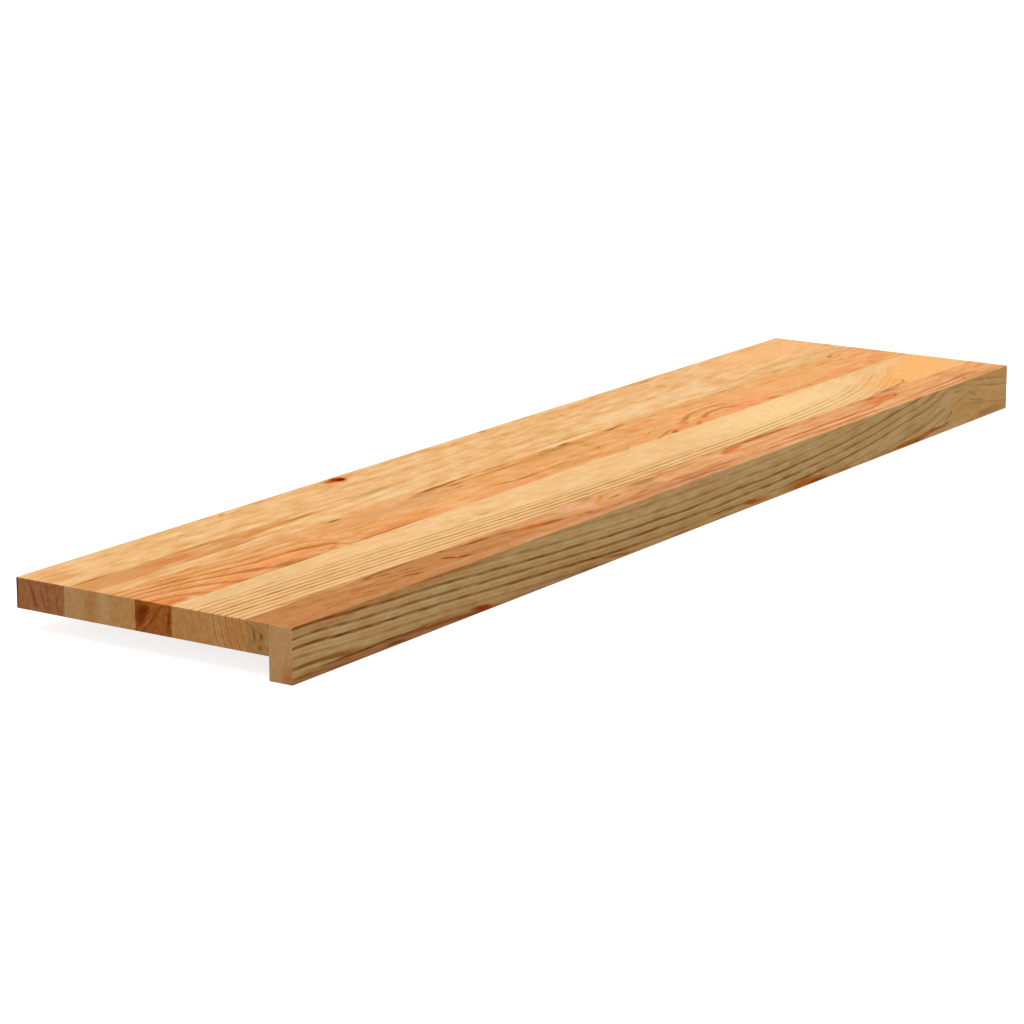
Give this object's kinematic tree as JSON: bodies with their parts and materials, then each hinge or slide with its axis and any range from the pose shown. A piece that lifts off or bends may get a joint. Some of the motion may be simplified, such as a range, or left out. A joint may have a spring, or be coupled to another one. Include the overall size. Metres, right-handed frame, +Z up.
{
  "type": "stair tread",
  "caption": "Solid wood cover tread for an old step: an edge-glued panel of full-length staves with a deeper nosing strip glued along its front edge.",
  "frame": {"origin": "middle of the bounding box's underside, level with the foot of the nosing strip", "axes": "+X along the nosing from the left end to the right end, -Y to the front of the step, +Z up"},
  "size_m": [1, 0.225, 0.037],
  "materials": {
    "stave_oak": "sanded, satin oil",
    "nosing_oak": "sanded, satin oil"
  },
  "bodies": {
    "root": {"nosing_strip": "nosing_oak", "stave_1": "stave_oak", "stave_2": "stave_oak", "stave_3": "stave_oak", "stave_4": "stave_oak", "stave_5": "stave_oak", "stave_6": "stave_oak", "stave_7": "stave_oak"}
  },
  "joints": []
}
